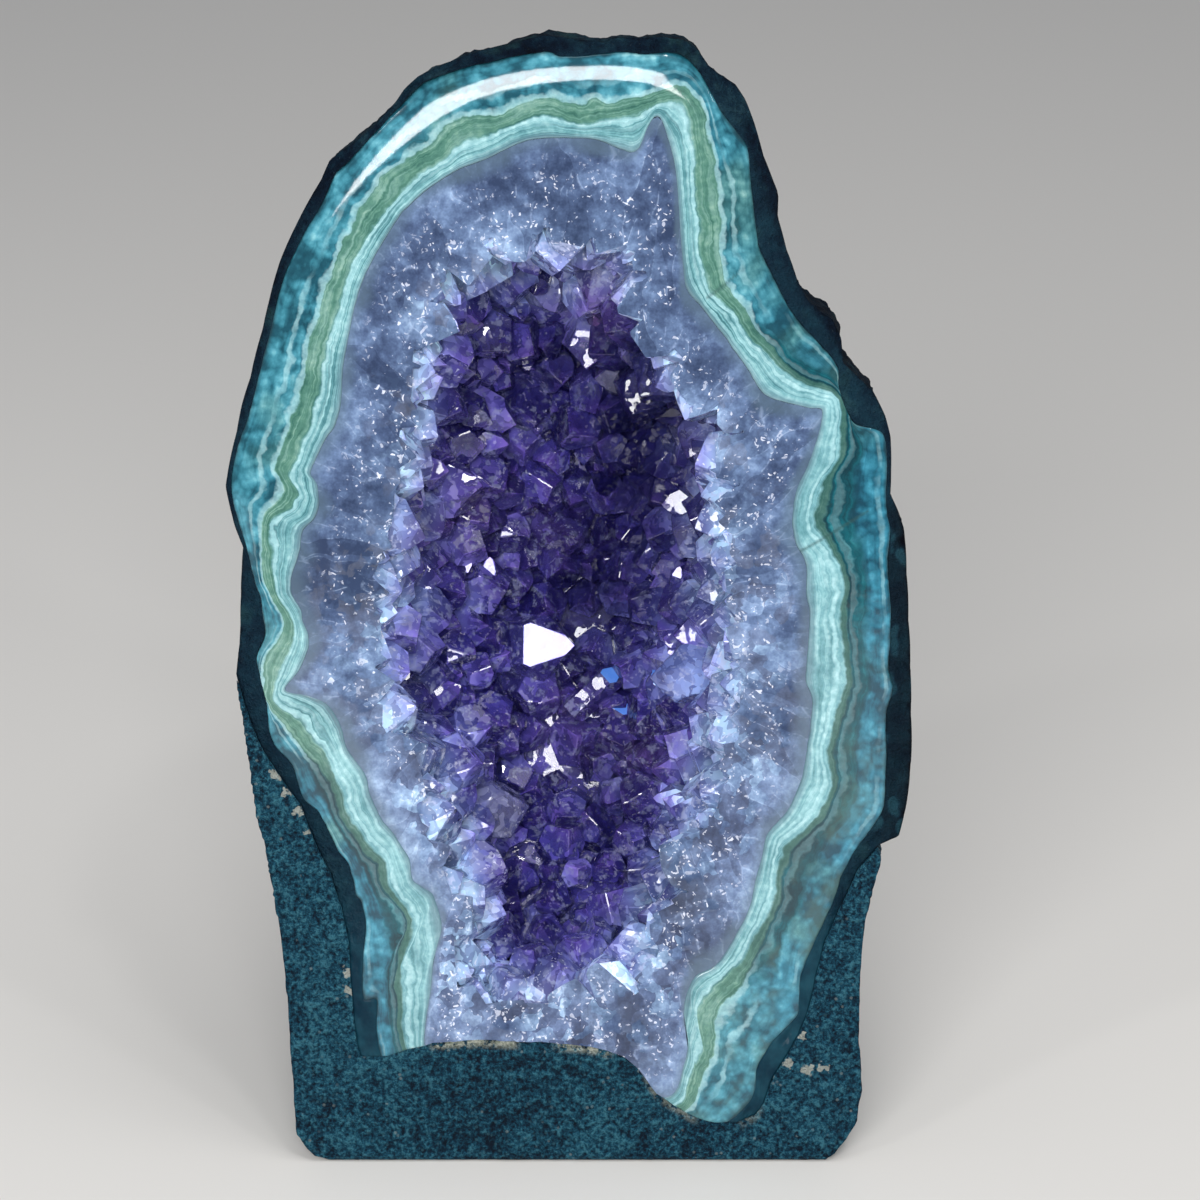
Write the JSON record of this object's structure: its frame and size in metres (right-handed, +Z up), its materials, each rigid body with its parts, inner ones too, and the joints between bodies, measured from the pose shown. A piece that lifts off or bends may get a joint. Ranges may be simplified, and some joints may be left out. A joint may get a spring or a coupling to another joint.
{
  "type": "amethyst cathedral",
  "caption": "Half geode with a sawn and polished front: dark basalt crust, banded agate wall and a deep purple crystal cavity, standing on a moulded cement foot.",
  "frame": {"origin": "on the floor, under the middle of the bounding box", "axes": "+Z up, sawn face towards -Y and leaning back 8 degrees, +X to the viewer's right"},
  "size_m": [0.1654, 0.1303, 0.274],
  "materials": {
    "cement": "matte",
    "basalt": "matte",
    "agate": "polished",
    "amethyst": "polished"
  },
  "bodies": {
    "root": {"cement_base": "cement", "basalt_rind": "basalt", "agate_band": "agate", "amethyst_druse": "amethyst"}
  },
  "joints": []
}
